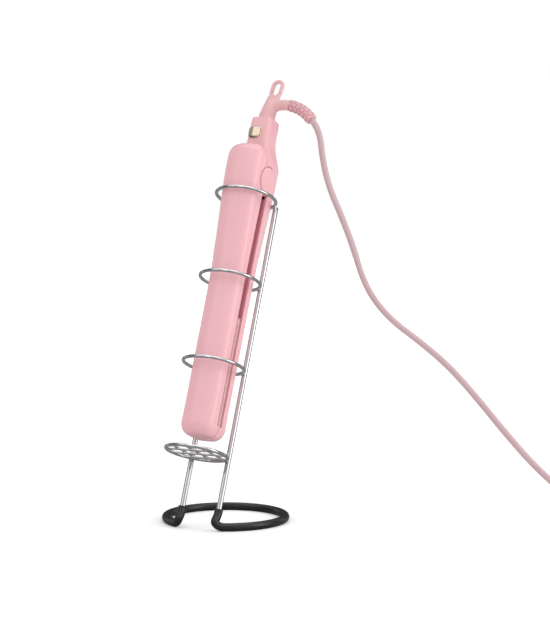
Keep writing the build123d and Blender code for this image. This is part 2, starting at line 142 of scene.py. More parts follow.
def tube_mesh(path, radius_at, sides=16, closed=False):
    """A round tube along a path, with UVs: U in metres along it, V once around."""
    mesh = bpy.data.meshes.new("tube")
    count = len(path)
    steps = [0.0]
    for a, b in zip(path, path[1:]):
        steps.append(steps[-1] + (b - a).length)
    tangents = []
    for i in range(count):
        ahead = path[(i + 1) % count] if closed else path[min(i + 1, count - 1)]
        behind = path[(i - 1) % count] if closed else path[max(i - 1, 0)]
        tangents.append((ahead - behind).normalized())
    side = tangents[0].orthogonal().normalized()
    made = bmesh.new()
    rings = []
    for i, (place, tangent) in enumerate(zip(path, tangents)):
        side = (side - tangent * side.dot(tangent)).normalized()
        other = tangent.cross(side)
        radius = radius_at(steps[i])
        ring = []
        for k in range(sides):
            angle = 2 * math.pi * k / sides
            ring.append(made.verts.new(place + (side * math.cos(angle) + other * math.sin(angle)) * radius))
        rings.append(ring)
    uv = made.loops.layers.uv.new("along")
    spans = count if closed else count - 1
    for i in range(spans):
        a, b = rings[i], rings[(i + 1) % count]
        low = steps[i]
        high = steps[i + 1] if i + 1 < count else steps[i] + (path[0] - path[i]).length
        for k in range(sides):
            j = (k + 1) % sides
            face = made.faces.new((a[k], a[j], b[j], b[k]))
            corners = ((low, k), (low, k + 1), (high, k + 1), (high, k))
            for loop, (u, v) in zip(face.loops, corners):
                loop[uv].uv = (u, v / sides)
    if not closed:
        made.faces.new(list(reversed(rings[0])))
        made.faces.new(rings[-1])
    bmesh.ops.recalc_face_normals(made, faces=made.faces)
    made.to_mesh(mesh)
    made.free()
    return mesh


def softened(node, name, material, width, smooth_angle=35.0):
    """A copy of a hard-edged node with its edges rounded, standing for that node."""
    mesh = nodes[node].data.copy()
    work = bmesh.new()
    work.from_mesh(mesh)
    bmesh.ops.remove_doubles(work, verts=work.verts, dist=2e-6)
    bmesh.ops.dissolve_limit(work, angle_limit=math.radians(0.6), verts=work.verts, edges=work.edges)
    work.to_mesh(mesh)
    work.free()
    temporary = bpy.data.objects.new(name, mesh)
    bpy.context.scene.collection.objects.link(temporary)
    bevel = temporary.modifiers.new("rounding", "BEVEL")
    bevel.width = width * MM
    bevel.segments = 3
    bevel.limit_method = "ANGLE"
    bevel.angle_limit = math.radians(45)
    bevel.harden_normals = False
    piece = baked(temporary, name, material, smooth_angle)
    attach(piece, frame["nodes"][node]["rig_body"])
    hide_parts(node)
    return piece


# ---- geometry node helpers ----

def new_geometry_tree(name, inputs):
    """An empty tree with named inputs and one geometry output."""
    tree = bpy.data.node_groups.new(name, "GeometryNodeTree")
    for label, kind, value in inputs:
        socket = tree.interface.new_socket(name=label, in_out="INPUT", socket_type=kind)
        if value is not None:
            socket.default_value = value
    tree.interface.new_socket(name="Geometry", in_out="OUTPUT", socket_type="NodeSocketGeometry")
    return tree, tree.nodes.new("NodeGroupInput"), tree.nodes.new("NodeGroupOutput")


def add_node(tree, kind, links=(), **settings):
    """A node with its settings, its input values and its incoming links."""
    node = tree.nodes.new(kind)
    for key, value in settings.items():
        setattr(node, key, value)
    for name, source in links:
        if hasattr(source, "is_output"):
            tree.links.new(source, node.inputs[name])
        else:
            node.inputs[name].default_value = source
    return node


def close_tree(tree, end, geometry):
    """Realize the instances, set the material and send the result out."""
    real = add_node(tree, "GeometryNodeRealizeInstances", [("Geometry", geometry)])
    material = tree.nodes["Group Input"].outputs["Material"]
    painted = add_node(tree, "GeometryNodeSetMaterial", [
        ("Geometry", real.outputs[0]), ("Material", material)])
    tree.links.new(painted.outputs[0], end.inputs["Geometry"])


def grown(tree, name, material, values, place, base=None, smooth_angle=40.0):
    """Run a geometry tree and keep its result as a plain piece, put in place by a matrix."""
    mesh = base if base else bpy.data.meshes.new(name)
    temporary = bpy.data.objects.new(name, mesh)
    bpy.context.scene.collection.objects.link(temporary)
    modifier = temporary.modifiers.new("tree", "NODES")
    modifier.node_group = tree
    values = dict(values, Material=material)
    for item in tree.interface.items_tree:
        if item.item_type == "SOCKET" and item.in_out == "INPUT" and item.name in values:
            modifier[item.identifier] = values[item.name]
    bpy.context.view_layer.update()
    evaluated = temporary.evaluated_get(bpy.context.evaluated_depsgraph_get())
    result = bpy.data.meshes.new_from_object(evaluated)
    bpy.data.objects.remove(temporary)
    result.transform(place)
    return finish_mesh(result, name, material, smooth_angle)


# ---- shader groups ----

PATCH_SCALE = 25.0               # slow changes of colour, in patches to the metre


def new_group(name, inputs, outputs):
    group = bpy.data.node_groups.new(name, "ShaderNodeTree")
    for label, kind, value in inputs:
        socket = group.interface.new_socket(name=label, in_out="INPUT", socket_type=kind)
        if value is not None:
            socket.default_value = value
    for label, kind in outputs:
        group.interface.new_socket(name=label, in_out="OUTPUT", socket_type=kind)
    start = group.nodes.new("NodeGroupInput")
    end = group.nodes.new("NodeGroupOutput")
    return group, start, end


def make_grain():
    """Fine moulded grain: a height and a slightly varied roughness."""
    group, start, end = new_group(
        "moulded_grain",
        [("Coordinates", "NodeSocketVector", None), ("Grain", "NodeSocketFloat", 1800.0),
         ("Roughness", "NodeSocketFloat", 0.4), ("Variation", "NodeSocketFloat", 0.1)],
        [("Height", "NodeSocketFloat"), ("Roughness", "NodeSocketFloat")],
    )
    links = group.links
    fine = group.nodes.new("ShaderNodeTexNoise")
    fine.inputs["Detail"].default_value = 2.0
    links.new(start.outputs["Coordinates"], fine.inputs["Vector"])
    links.new(start.outputs["Grain"], fine.inputs["Scale"])
    links.new(fine.outputs["Fac"], end.inputs["Height"])
    broad = group.nodes.new("ShaderNodeTexNoise")
    broad.inputs["Scale"].default_value = 60.0
    broad.inputs["Detail"].default_value = 3.0
    links.new(start.outputs["Coordinates"], broad.inputs["Vector"])
    centred = group.nodes.new("ShaderNodeMath")
    centred.operation = "SUBTRACT"
    centred.inputs[1].default_value = 0.5
    links.new(broad.outputs["Fac"], centred.inputs[0])
    scaled = group.nodes.new("ShaderNodeMath")
    scaled.operation = "MULTIPLY_ADD"
    links.new(centred.outputs[0], scaled.inputs[0])
    links.new(start.outputs["Variation"], scaled.inputs[1])
    links.new(start.outputs["Roughness"], scaled.inputs[2])
    links.new(scaled.outputs[0], end.inputs["Roughness"])
    return group


def make_tint():
    """Slow colour variation between two close shades."""
    group, start, end = new_group(
        "slow_tint",
        [("Coordinates", "NodeSocketVector", None), ("Colour", "NodeSocketColor", (0.8, 0.8, 0.8, 1.0)),
         ("Other Colour", "NodeSocketColor", (0.7, 0.7, 0.7, 1.0)),
         ("Patch Scale", "NodeSocketFloat", PATCH_SCALE)],
        [("Colour", "NodeSocketColor")],
    )
    links = group.links
    patches = group.nodes.new("ShaderNodeTexNoise")
    patches.inputs["Detail"].default_value = 2.0
    patches.inputs["Roughness"].default_value = 0.45
    links.new(start.outputs["Coordinates"], patches.inputs["Vector"])
    links.new(start.outputs["Patch Scale"], patches.inputs["Scale"])
    mix = group.nodes.new("ShaderNodeMix")
    mix.data_type = "RGBA"
    links.new(patches.outputs["Fac"], mix.inputs["Factor"])
    links.new(start.outputs["Colour"], mix.inputs["A"])
    links.new(start.outputs["Other Colour"], mix.inputs["B"])
    links.new(mix.outputs["Result"], end.inputs["Colour"])
    return group


GRAIN = make_grain()
TINT = make_tint()


def finish(name, colour, other, roughness, grain=1800.0, depth=0.00002, variation=0.1, metallic=0.0,
           coat=0.0):
    """A material with slow colour variation, varied roughness and a fine grain."""
    material = bpy.data.materials.new(name)
    material.use_nodes = True
    tree = material.node_tree
    shader = tree.nodes["Principled BSDF"]
    shader.inputs["Metallic"].default_value = metallic
    shader.inputs["Coat Weight"].default_value = coat
    shader.inputs["Coat Roughness"].default_value = 0.12
    places = tree.nodes.new("ShaderNodeTexCoord")
    tint = tree.nodes.new("ShaderNodeGroup")
    tint.node_tree = TINT
    tint.inputs["Colour"].default_value = (*colour, 1.0)
    tint.inputs["Other Colour"].default_value = (*other, 1.0)
    tint.inputs["Patch Scale"].default_value = PATCH_SCALE
    tree.links.new(places.outputs["Object"], tint.inputs["Coordinates"])
    tree.links.new(tint.outputs["Colour"], shader.inputs["Base Color"])
    fine = tree.nodes.new("ShaderNodeGroup")
    fine.node_tree = GRAIN
    fine.inputs["Grain"].default_value = grain
    fine.inputs["Roughness"].default_value = roughness
    fine.inputs["Variation"].default_value = variation
    tree.links.new(places.outputs["Object"], fine.inputs["Coordinates"])
    tree.links.new(fine.outputs["Roughness"], shader.inputs["Roughness"])
    bump = tree.nodes.new("ShaderNodeBump")
    bump.inputs["Strength"].default_value = 1.0
    bump.inputs["Distance"].default_value = depth
    tree.links.new(fine.outputs["Height"], bump.inputs["Height"])
    tree.links.new(bump.outputs["Normal"], shader.inputs["Normal"])
    return material


MATERIALS = {
    "pink_shell": finish("satin_pink_shell", (0.84, 0.445, 0.485), (0.86, 0.475, 0.51), 0.36, coat=0.15),
    "slot_pink": finish("deep_pink_lining", (0.70, 0.24, 0.31), (0.75, 0.27, 0.34), 0.5),
    "plate_coating": finish("coated_plate", (0.74, 0.38, 0.40), (0.78, 0.42, 0.43), 0.25,
                            metallic=0.4, coat=0.3),
    "soft_pink": finish("soft_pink_rubber", (0.76, 0.43, 0.45), (0.80, 0.47, 0.48), 0.5, depth=0.00003),
    "cord_pink": finish("cord_pink", (0.56, 0.37, 0.40), (0.60, 0.42, 0.44), 0.45, depth=0.00004),
    "gold_button": finish("pale_gold", (0.89, 0.78, 0.60), (0.85, 0.72, 0.52), 0.3,
                          metallic=0.25, coat=0.3),
    "olive_plastic": finish("dark_olive_collar", (0.20, 0.19, 0.12), (0.25, 0.235, 0.16), 0.25),
    "chrome_rod": finish("chrome_rod", (0.70, 0.70, 0.71), (0.64, 0.64, 0.655), 0.08, grain=900.0,
                         depth=0.000006, variation=0.06, metallic=1.0),
    "steel_rod": finish("plain_steel", (0.55, 0.55, 0.56), (0.48, 0.48, 0.49), 0.3, metallic=1.0),
    "black_rubber": finish("black_rubber", (0.009, 0.009, 0.0095), (0.014, 0.014, 0.0145), 0.3,
                           depth=0.00003),
    "small_steel": finish("small_steel", (0.60, 0.60, 0.61), (0.52, 0.52, 0.53), 0.28, metallic=1.0),
    "heater_white": finish("white_ceramic", (0.80, 0.78, 0.74), (0.74, 0.72, 0.68), 0.6),
    "dark_plastic": finish("dark_plastic", (0.04, 0.04, 0.042), (0.055, 0.055, 0.058), 0.45),
    "wire_white": finish("wire_sleeve", (0.78, 0.77, 0.74), (0.72, 0.71, 0.68), 0.5),
    "board_green": finish("board_green", (0.03, 0.18, 0.08), (0.04, 0.22, 0.10), 0.4),
    "tie_dark": finish("tie_rubber", (0.045, 0.045, 0.047), (0.06, 0.06, 0.062), 0.5),
    "plug_nickel": finish("nickel_pins", (0.72, 0.70, 0.66), (0.66, 0.64, 0.60), 0.2, metallic=1.0),
}


def painted_side_shade(name, material, dark, start_x, end_x):
    """A copy of a finish with painted shade, darker towards the left, fading between two places in
    millimetres.
    """
    shaded = material.copy()
    shaded.name = name
    tree = shaded.node_tree
    shader = tree.nodes["Principled BSDF"]
    tone = shader.inputs["Base Color"].links[0].from_socket
    places = next(node for node in tree.nodes if node.type == "TEX_COORD")
    split = add_node(tree, "ShaderNodeSeparateXYZ", [("Vector", places.outputs["Object"])])
    fade = add_node(tree, "ShaderNodeMapRange", [
        ("Value", split.outputs["X"]), ("From Min", start_x * MM), ("From Max", end_x * MM)])
    mix = add_node(tree, "ShaderNodeMix", [
        ("Factor", fade.outputs["Result"]), ("A", (*dark, 1.0)), ("B", tone)], data_type="RGBA")
    tree.links.new(mix.outputs["Result"], shader.inputs["Base Color"])
    return shaded


slot_of = {part["node"]: part["material_slot"] for part in frame["record"]["subparts"]}
for node, piece in nodes.items():
    piece.data.materials.clear()
    piece.data.materials.append(MATERIALS[slot_of[node]])
# The block shows in the gap above the slot, where it looks like the slot's lining.
nodes["hinge_block"].data.materials[0] = MATERIALS["slot_pink"]
# The cap and its collar get painted shade on their left side only, where they turn away from the light.
CAP_PAINTED_SHADE = (0.24, 0.23, 0.15)
COLLAR_PAINTED_SHADE = (0.23, 0.215, 0.14)
button_gold_painted_shade = painted_side_shade("gold_cap_painted_shade", MATERIALS["gold_button"], CAP_PAINTED_SHADE, -4.2, -3.2)
collar_gold_painted_shade = painted_side_shade("gold_collar_painted_shade", MATERIALS["gold_button"], COLLAR_PAINTED_SHADE, -1.5, 1.5)
nodes["power_button"].data.materials[0] = button_gold_painted_shade
nodes["button_bezel"].data.materials[0] = collar_gold_painted_shade


def dressed(piece, body, slot, *replaced):
    """Ride a new piece on its body and hide the nodes it stands for; the slot is not used."""
    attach(piece, body)
    if replaced:
        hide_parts(*replaced)
    return piece


# ---- the stand's wire ----
# Sizes in millimetres.

RING_RADIUS = 26.0
RING_WIRE = 1.5
RING_PITCH = 76.0
RING_NODES = ("rest_ring", "lower_ring", "middle_ring", "top_ring")
LEG_RADIUS = 2.25
LEG_HALF_GAP = 17.6
LEG_BACK = 23.4
CAP_HEIGHT = 0.6                 # a leg's rounded end, as a part of its radius
MESH_WIRE = 0.9
MESH_PITCH = 13.0
MESH_COUNT = 3

for number, node in enumerate(RING_NODES):
    circle = []
    for k in range(96):
        angle = 2 * math.pi * k / 96
        circle.append(RINGS @ Vector((RING_RADIUS * math.cos(angle), RING_RADIUS * math.sin(angle),
                                      number * RING_PITCH)))
    ring = finish_mesh(tube_mesh(circle, lambda s: RING_WIRE * MM, 20, True), node + "_wire",
                       MATERIALS["chrome_rod"])
    dressed(ring, "stand", "chrome_rod", node)


def leg_end(node, top):
    """The point of a leg's axis at its upper or lower end."""
    low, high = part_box(node)
    middle = (low + high) / 2
    half = (high.z - low.z) / 2 - LEG_RADIUS * MM * ALONG.y
    return middle + ALONG * (half / ALONG.z) * (1 if top else -1)


for node in ("left_leg", "right_leg"):
    foot, head = leg_end(node, False), leg_end(node, True)
    path = [foot.lerp(head, k / 24) for k in range(25)]
    dome = LEG_RADIUS * MM
    cap = dome * CAP_HEIGHT
    for k in (1, 2, 3):
        path.append(head + ALONG * cap * math.sin(math.radians(30 * k)))
    length = (head - foot).length

    def leg_radius(along, length=length, dome=dome, cap=cap):
        past = max(0.0, along - length) / cap
        return dome * math.sqrt(max(0.05, 1 - min(past, 0.98) ** 2))

    rod = finish_mesh(tube_mesh(path, leg_radius, 24), node + "_rod", MATERIALS["chrome_rod"])
    dressed(rod, "stand", "chrome_rod", node)


def arithmetic(tree, operation, first, second):
    """One step of arithmetic on two values or sockets."""
    return add_node(tree, "ShaderNodeMath", [(0, first), (1, second)], operation=operation).outputs[0]


def make_grid_tree():
    """Two crossed layers of straight wires, cut to a circle."""
    tree, start, end = new_geometry_tree("rest_grid", [
        ("Radius", "NodeSocketFloat", 26.0), ("Pitch", "NodeSocketFloat", 13.0),
        ("Wire", "NodeSocketFloat", 0.9), ("Count", "NodeSocketInt", 3),
        ("Material", "NodeSocketMaterial", None)])
    inputs = start.outputs
    span = arithmetic(tree, "MULTIPLY", arithmetic(tree, "SUBTRACT", inputs["Count"], 1.0), inputs["Pitch"])
    first = add_node(tree, "ShaderNodeCombineXYZ", [("X", arithmetic(tree, "MULTIPLY", span, -0.5))])
    step = add_node(tree, "ShaderNodeCombineXYZ", [("X", inputs["Pitch"])])
    row = add_node(tree, "GeometryNodeMeshLine", [
        ("Count", inputs["Count"]), ("Start Location", first.outputs[0]), ("Offset", step.outputs[0])])
    line = add_node(tree, "GeometryNodeCurvePrimitiveLine", [
        ("Start", (0.0, -1.0, 0.0)), ("End", (0.0, 1.0, 0.0))])
    round_wire = add_node(tree, "GeometryNodeCurvePrimitiveCircle", [
        ("Resolution", 14), ("Radius", inputs["Wire"])])
    wire = add_node(tree, "GeometryNodeCurveToMesh", [
        ("Curve", line.outputs[0]), ("Profile Curve", round_wire.outputs[0]), ("Fill Caps", True)])
    place = add_node(tree, "GeometryNodeInputPosition")
    split = add_node(tree, "ShaderNodeSeparateXYZ", [("Vector", place.outputs["Position"])])
    squared = arithmetic(tree, "MULTIPLY", split.outputs["X"], split.outputs["X"])
    whole = arithmetic(tree, "MULTIPLY", inputs["Radius"], inputs["Radius"])
    left = arithmetic(tree, "SUBTRACT", whole, squared)
    reach = add_node(tree, "ShaderNodeMath", [(0, left)], operation="SQRT")
    size = add_node(tree, "ShaderNodeCombineXYZ", [("X", 1.0), ("Y", reach.outputs[0]), ("Z", 1.0)])
    wires = add_node(tree, "GeometryNodeInstanceOnPoints", [
        ("Points", row.outputs[0]), ("Instance", wire.outputs[0]), ("Scale", size.outputs[0])])
    lift = add_node(tree, "ShaderNodeCombineXYZ", [("Z", inputs["Wire"])])
    drop = add_node(tree, "ShaderNodeVectorMath", [
        (0, lift.outputs[0]), (1, (0.0, 0.0, -1.0))], operation="MULTIPLY")
    upper = add_node(tree, "GeometryNodeTransform", [
        ("Geometry", wires.outputs[0]), ("Translation", lift.outputs[0])])
    lower = add_node(tree, "GeometryNodeTransform", [
        ("Geometry", wires.outputs[0]), ("Translation", drop.outputs[0]),
        ("Rotation", (0.0, 0.0, math.pi / 2))])
    both = add_node(tree, "GeometryNodeJoinGeometry")
    tree.links.new(upper.outputs[0], both.inputs[0])
    tree.links.new(lower.outputs[0], both.inputs[0])
    close_tree(tree, end, both.outputs[0])
    return tree


grid_sizes = {"Radius": RING_RADIUS, "Pitch": MESH_PITCH, "Wire": MESH_WIRE, "Count": MESH_COUNT}
rest_grid = grown(make_grid_tree(), "rest_grid", MATERIALS["chrome_rod"], grid_sizes, RINGS)
dressed(rest_grid, "stand", "chrome_rod", "rest_mesh")


def make_weld_tree():
    """A small bead on every point, a little longer along the leg than across it."""
    tree, start, end = new_geometry_tree("weld_beads", [
        ("Points", "NodeSocketGeometry", None), ("Bead", "NodeSocketFloat", 2.0),
        ("Material", "NodeSocketMaterial", None)])
    inputs = start.outputs
    bead = add_node(tree, "GeometryNodeMeshUVSphere", [
        ("Segments", 20), ("Rings", 12), ("Radius", inputs["Bead"])])
    beads = add_node(tree, "GeometryNodeInstanceOnPoints", [
        ("Points", inputs["Points"]), ("Instance", bead.outputs["Mesh"]), ("Scale", (0.72, 0.72, 1.25))])
    close_tree(tree, end, beads.outputs[0])
    return tree


WELD_IN = 2.2                    # a bead's middle is this far inside the leg's axis
WELD_BEAD = 1.7
spots = bpy.data.meshes.new("weld_spots")
leg_angle = math.atan2(LEG_BACK, LEG_HALF_GAP)
weld_reach = math.hypot(LEG_BACK, LEG_HALF_GAP) - WELD_IN
weld_x = weld_reach * math.cos(leg_angle)
weld_y = weld_reach * math.sin(leg_angle)
weld_places = [(side * weld_x, weld_y, number * RING_PITCH)
               for side in (-1, 1) for number in range(len(RING_NODES))]
spots.from_pydata(weld_places, [], [])
welds = grown(make_weld_tree(), "weld_beads", MATERIALS["chrome_rod"], {"Bead": WELD_BEAD}, RINGS, spots)
dressed(welds, "stand", "chrome_rod")

# ---- the straightener's shells ----

for node, width in (("front_outer_shell", 0.45), ("rear_outer_shell", 0.45), ("tail_housing", 0.4)):
    softened(node, node + "_skin", MATERIALS["pink_shell"], width)

# ---- the swivel: neck, hanging loop and strain relief in one moulding ----
# Places in millimetres, along the straightener's own axes.

TAIL_TOP_S = 305.0
SWIVEL_T = 6.0
LOOP_TILT = math.radians(9)
LOOP_FOOT = Vector((1.2, SWIVEL_T, TAIL_TOP_S + 7.0))


def up_the_loop(distance, aside=0.0):
    """A point of the hanging loop's plane, in the straightener's own frame."""
    return LOOP_FOOT + Vector((math.sin(LOOP_TILT) * distance + math.cos(LOOP_TILT) * aside, 0.0,
                               math.cos(LOOP_TILT) * distance - math.sin(LOOP_TILT) * aside))


def oval_stack(sections, sides=32):
    """A closed skin over level ovals, each (centre, half width, half depth)."""
    made = bmesh.new()
    rings = []
    for centre, wide, deep in sections:
        ring = []
        for k in range(sides):
            angle = 2 * math.pi * k / sides
            out = Vector((wide * math.cos(angle), deep * math.sin(angle), 0.0))
            ring.append(made.verts.new(centre + out))
        rings.append(ring)
    for a, b in zip(rings, rings[1:]):
        for k in range(sides):
            j = (k + 1) % sides
            made.faces.new((a[k], a[j], b[j], b[k]))
    made.faces.new(list(reversed(rings[0])))
    made.faces.new(rings[-1])
    mesh = bpy.data.meshes.new("oval_stack")
    made.to_mesh(mesh)
    made.free()
    return mesh


neck = oval_stack([
    (Vector((0.0, SWIVEL_T, TAIL_TOP_S + 0.1)), 6.9, 6.9),
    (Vector((0.0, SWIVEL_T, TAIL_TOP_S + 1.0)), 7.5, 7.2),
    (Vector((0.3, SWIVEL_T, TAIL_TOP_S + 5.0)), 7.2, 6.9),
    (Vector((1.2, SWIVEL_T, TAIL_TOP_S + 10.0)), 7.0, 6.6),
    (Vector((2.2, SWIVEL_T, TAIL_TOP_S + 15.0)), 6.9, 5.6),
    (Vector((3.0, SWIVEL_T, TAIL_TOP_S + 20.0)), 6.6, 3.2),
    (Vector((3.5, SWIVEL_T, TAIL_TOP_S + 24.0)), 6.3, 2.3),
])
EYE_LOW = 20.8
EYE_HIGH = 26.7
LOOP_RADIUS = 4.5
LOOP_BAR = 1.85                  # radius of the loop's own bar
oval = []
for k in range(48):
    angle = 2 * math.pi * k / 48
    middle = EYE_HIGH if math.sin(angle) >= 0 else EYE_LOW
    oval.append(up_the_loop(middle + LOOP_RADIUS * math.sin(angle), LOOP_RADIUS * math.cos(angle)))
loop = tube_mesh(oval, lambda s: LOOP_BAR, 16, True)
RELIEF_ROUTE = (
    (0.5, SWIVEL_T, 314.5), (6.0, SWIVEL_T, 318.8), (14.0, SWIVEL_T, 320.4), (24.0, SWIVEL_T, 318.8),
    (33.5, SWIVEL_T, 314.7), (40.5, SWIVEL_T, 309.3), (45.0, SWIVEL_T, 304.8),
)
RELIEF_START = 4.5
RELIEF_GROWTH = 0.45
relief_path = spline_points(RELIEF_ROUTE)
relief_length = sum((b - a).length for a, b in zip(relief_path, relief_path[1:]))


def relief_radius(along):
    """The strain relief's radius, a little larger towards its ribbed end."""
    return RELIEF_START + RELIEF_GROWTH * along / relief_length


relief = tube_mesh(relief_path, relief_radius, 24)
joined = bmesh.new()
for mesh in (neck, loop, relief):
    joined.from_mesh(mesh)
    bpy.data.meshes.remove(mesh)
moulding_mesh = bpy.data.meshes.new("swivel_moulding")
joined.to_mesh(moulding_mesh)
joined.free()
moulding = bpy.data.objects.new("swivel_moulding", moulding_mesh)
bpy.context.scene.collection.objects.link(moulding)
voxels = moulding.modifiers.new("merge", "REMESH")
voxels.mode = "VOXEL"
voxels.voxel_size = 0.42
voxels.use_smooth_shade = True
melt = moulding.modifiers.new("melt", "SMOOTH")
melt.factor = 0.5
melt.iterations = 7
moulding = baked(moulding, "swivel_moulding", MATERIALS["soft_pink"], 80.0)
moulding.data.transform(IRON)
moulding.data.update()
dressed(moulding, "swivel", "soft_pink", "swivel_elbow", "hanging_loop", "strain_relief")


def make_rib_tree():
    """Broken ribs along a path: short arcs, every other one turned by half a step."""
    tree, start, end = new_geometry_tree("relief_ribs", [
        ("Path", "NodeSocketGeometry", None), ("Count", "NodeSocketInt", 10),
        ("Radius", "NodeSocketFloat", 5.0),
        ("Rib", "NodeSocketFloat", 0.6), ("Material", "NodeSocketMaterial", None)])
    inputs = start.outputs
    curve = add_node(tree, "GeometryNodeMeshToCurve", [("Mesh", inputs["Path"])])
    points = add_node(tree, "GeometryNodeCurveToPoints", [
        ("Curve", curve.outputs[0]), ("Count", inputs["Count"])])
    arc = add_node(tree, "GeometryNodeCurveArc", [
        ("Resolution", 12), ("Radius", inputs["Radius"]), ("Start Angle", math.radians(12)),
        ("Sweep Angle", math.radians(66))])
    bar = add_node(tree, "GeometryNodeCurvePrimitiveCircle", [("Resolution", 8), ("Radius", inputs["Rib"])])
    rib = add_node(tree, "GeometryNodeCurveToMesh", [
        ("Curve", arc.outputs["Curve"]), ("Profile Curve", bar.outputs[0]), ("Fill Caps", True)])
    quarter = add_node(tree, "GeometryNodeMeshLine", [("Count", 4), ("Offset", (0.0, 0.0, 0.0))])
    index = add_node(tree, "GeometryNodeInputIndex")
    turn = add_node(tree, "ShaderNodeMath", [(0, index.outputs[0]), (1, math.pi / 2)], operation="MULTIPLY")
    around = add_node(tree, "ShaderNodeCombineXYZ", [("Z", turn.outputs[0])])
    ring = add_node(tree, "GeometryNodeInstanceOnPoints", [
        ("Points", quarter.outputs[0]), ("Instance", rib.outputs[0]), ("Rotation", around.outputs[0])])
    whole = add_node(tree, "GeometryNodeRealizeInstances", [("Geometry", ring.outputs[0])])
    rings = add_node(tree, "GeometryNodeInstanceOnPoints", [
        ("Points", points.outputs["Points"]), ("Instance", whole.outputs[0]),
        ("Rotation", points.outputs["Rotation"])])
    order = add_node(tree, "GeometryNodeInputIndex")
    odd = add_node(tree, "ShaderNodeMath", [(0, order.outputs[0]), (1, 2.0)], operation="MODULO")
    shift = add_node(tree, "ShaderNodeMath", [(0, odd.outputs[0]), (1, math.pi / 4)], operation="MULTIPLY")
    spin = add_node(tree, "ShaderNodeCombineXYZ", [("Z", shift.outputs[0])])
    turned = add_node(tree, "GeometryNodeRotateInstances", [
        ("Instances", rings.outputs[0]), ("Rotation", spin.outputs[0]), ("Local Space", True)])
    close_tree(tree, end, turned.outputs[0])
    return tree


RIB_START = 0.45                 # the ribs begin and end this far along the strain relief
RIB_END = 0.985
walked = 0.0
rib_line = []
for a, b in zip(relief_path, relief_path[1:]):
    if RIB_START <= walked / relief_length <= RIB_END:
        rib_line.append(a)
    walked += (b - a).length
rib_base = bpy.data.meshes.new("rib_line")
rib_base.from_pydata(rib_line, [(k, k + 1) for k in range(len(rib_line) - 1)], [])
rib_pink = finish("rib_pink", (0.50, 0.22, 0.27), (0.56, 0.26, 0.31), 0.5, depth=0.00003)
rib_sizes = {"Count": 11, "Radius": 4.75, "Rib": 0.5}
ribs = grown(make_rib_tree(), "relief_ribs", rib_pink, rib_sizes, IRON, rib_base)
dressed(ribs, "swivel", "soft_pink")

# ---- the cord ----

CORD_RADIUS = 2.7 * MM
CORD_EXIT = (0.04523, 0.06486, 0.34317)
LEAD_ROUTE = (
    (0.0498, 0.0630, 0.3383), (0.0535, 0.0615, 0.3320), (0.0558, 0.0608, 0.3249), (0.0570, 0.0606, 0.3150),
    (0.0603, 0.0609, 0.2970), (0.0664, 0.0612, 0.2790), (0.0765, 0.0612, 0.2580), (0.0870, 0.0609, 0.2335),
    (0.0959, 0.0601, 0.2075), (0.1075, 0.0592, 0.1880), (0.1260, 0.0584, 0.1700), (0.1510, 0.0576, 0.1540),
    (0.1780, 0.0570, 0.1340), (0.2040, 0.0560, 0.1080), (0.2295, 0.0555, 0.0800), (0.2555, 0.0550, 0.0540),
    (0.2830, 0.0540, 0.0335), (0.3110, 0.0530, 0.0210), (0.3340, 0.0520, 0.0153), (0.3500, 0.0515, 0.0136),
)
PLUG_ROUTE = ((0.3869, 0.0140, 0.0029), (0.3872, 0.0050, 0.0032), (0.3884, -0.0040, 0.0054),
              (0.3890, -0.0120, 0.0070))
COIL_CENTRE = Vector((0.352, 0.022))
# height and radius of each wound turn, in millimetres, in the order they are laid
COIL_TURNS = ((13.5, 29.5), (8.1, 34.9), (8.1, 29.5), (8.1, 24.1), (2.7, 24.1), (2.7, 29.5), (2.7, 34.9))
POINTS_PER_TURN = 16
LAST_TURN = 1.25


def coil_route():
    """Control points of the wound cord, clockwise from its back."""
    route = []
    total = (len(COIL_TURNS) - 1 + LAST_TURN) * POINTS_PER_TURN
    spread = math.cos(math.pi / POINTS_PER_TURN)
    for k in range(1, int(total) + 1):
        turn = min((k - 0.3) / POINTS_PER_TURN, total / POINTS_PER_TURN)
        lap = min(int(turn), len(COIL_TURNS) - 1)
        height, radius = COIL_TURNS[lap]
        if lap + 1 < len(COIL_TURNS):
            step = max(0.0, (turn - lap - 0.75) / 0.25)
            step = step * step * (3 - 2 * step)
            height += (COIL_TURNS[lap + 1][0] - height) * step
            radius += (COIL_TURNS[lap + 1][1] - radius) * step
        angle = math.radians(90 - 360 * turn)
        reach = radius * MM / spread
        place = COIL_CENTRE + Vector((math.cos(angle), math.sin(angle))) * reach
        route.append((place.x, place.y, height * MM))
    return tuple(route)


cord_path = spline_points((CORD_EXIT,) + LEAD_ROUTE + coil_route() + PLUG_ROUTE)
cord = finish_mesh(tube_mesh(cord_path, lambda s: CORD_RADIUS, 14), "power_cord", MATERIALS["cord_pink"])
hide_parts("cord_lead", "cord_coil", "cord_tail")
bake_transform(cord)

# ---- floor, light and camera ----

floor_material = bpy.data.materials.new("pale_floor")
floor_material.use_nodes = True
floor_tree = floor_material.node_tree
floor_shader = floor_tree.nodes["Principled BSDF"]
floor_shader.inputs["Roughness"].default_value = 0.9
floor_ray = floor_tree.nodes.new("ShaderNodeLightPath")
floor_tone = add_node(floor_tree, "ShaderNodeMix", [
    ("Factor", floor_ray.outputs["Is Glossy Ray"]),
    ("A", (0.95, 0.95, 0.95, 1.0)), ("B", (0.3, 0.3, 0.3, 1.0))], data_type="RGBA")
floor_tree.links.new(floor_tone.outputs["Result"], floor_shader.inputs["Base Color"])
floor_place = floor_tree.nodes.new("ShaderNodeTexCoord")
floor_reach = add_node(floor_tree, "ShaderNodeVectorMath", [
    (0, floor_place.outputs["Object"])], operation="LENGTH")
floor_far = add_node(floor_tree, "ShaderNodeMapRange", [
    ("Value", floor_reach.outputs["Value"]), ("From Min", 0.4), ("From Max", 2.5),
    ("To Min", 0.15), ("To Max", 0.6)])
